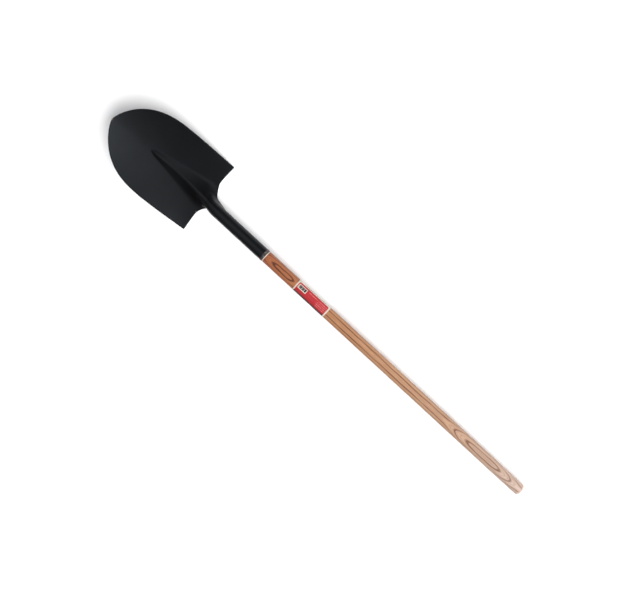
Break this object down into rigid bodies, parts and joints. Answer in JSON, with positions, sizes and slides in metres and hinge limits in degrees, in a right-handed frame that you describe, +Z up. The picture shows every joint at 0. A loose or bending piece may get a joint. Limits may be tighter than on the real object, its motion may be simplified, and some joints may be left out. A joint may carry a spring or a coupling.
{
  "type": "round point shovel",
  "caption": "Long-handled round point shovel: dished pointed steel blade with a raised frog, rolled socket and straight turned wooden handle with a wrapped label.",
  "frame": {"origin": "on the floor, under the middle of the bounding box, with the shovel lying on its back on its heel and its butt", "axes": "+X along the shovel from the butt to the point of the blade, +Y across the blade, +Z up, out of the blade's front face"},
  "size_m": [1.3662, 0.223, 0.0582],
  "materials": {
    "black_steel": "semi-gloss black lacquer, bare at the lip of the socket",
    "handle_wood": "clear lacquered hardwood with long grain",
    "label_paper": "satin printed paper, red with a cream border",
    "screw_steel": "zinc plated"
  },
  "bodies": {
    "root": {"blade_and_socket": "black_steel", "handle": "handle_wood", "handle_label": "label_paper", "socket_screw_1": "screw_steel", "socket_screw_2": "screw_steel"}
  },
  "joints": []
}
